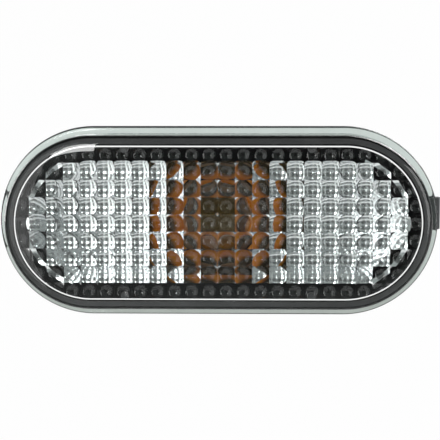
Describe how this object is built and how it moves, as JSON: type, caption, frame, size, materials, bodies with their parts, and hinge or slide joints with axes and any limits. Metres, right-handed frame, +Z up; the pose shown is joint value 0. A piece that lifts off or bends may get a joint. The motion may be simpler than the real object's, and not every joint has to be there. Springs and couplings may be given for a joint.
{
  "type": "vehicle indicator lamp",
  "caption": "Oval side indicator lamp: clear pillow-optic lens, metallised reflector, snap-in rear housing and a twist-lock holder with an amber wedge-base bulb.",
  "frame": {"origin": "centre of the oval flange's back face, which lies on the car's panel", "axes": "+X along the oval's length towards the sprung leaf, +Y out of the flange's back into the car, +Z up across the oval; the lens looks along -Y"},
  "size_m": [0.0965, 0.0447, 0.041],
  "materials": {
    "lens_clear": "clear acrylic, polished outside",
    "reflector_metal": "moulded plastic, vacuum-metallised inside the tray, black rim",
    "housing_black": "fine-grained moulding",
    "holder_black": "heat-resistant moulding",
    "seal_rubber": "soft black rubber",
    "contact_brass": "pressed strip",
    "bulb_amber": "amber-coated glass",
    "filament_wire": "coiled tungsten wire",
    "lead_wire": "drawn wire"
  },
  "bodies": {
    "lamp_body": {"lens": "lens_clear", "reflector": "reflector_metal", "housing": "housing_black"},
    "holder": {"bulb_holder": "holder_black", "holder_seal": "seal_rubber", "contact_left": "contact_brass", "contact_right": "contact_brass", "bulb_glass": "bulb_amber", "bulb_filament": "filament_wire", "bulb_lead_left": "lead_wire", "bulb_lead_right": "lead_wire"}
  },
  "joints": [
    {"name": "holder_twist", "type": "hinge", "parent": "lamp_body", "child": "holder", "pos_m": [0, 0, 0], "axis": [0, 1, 0], "range_deg": [0, 50]}
  ]
}
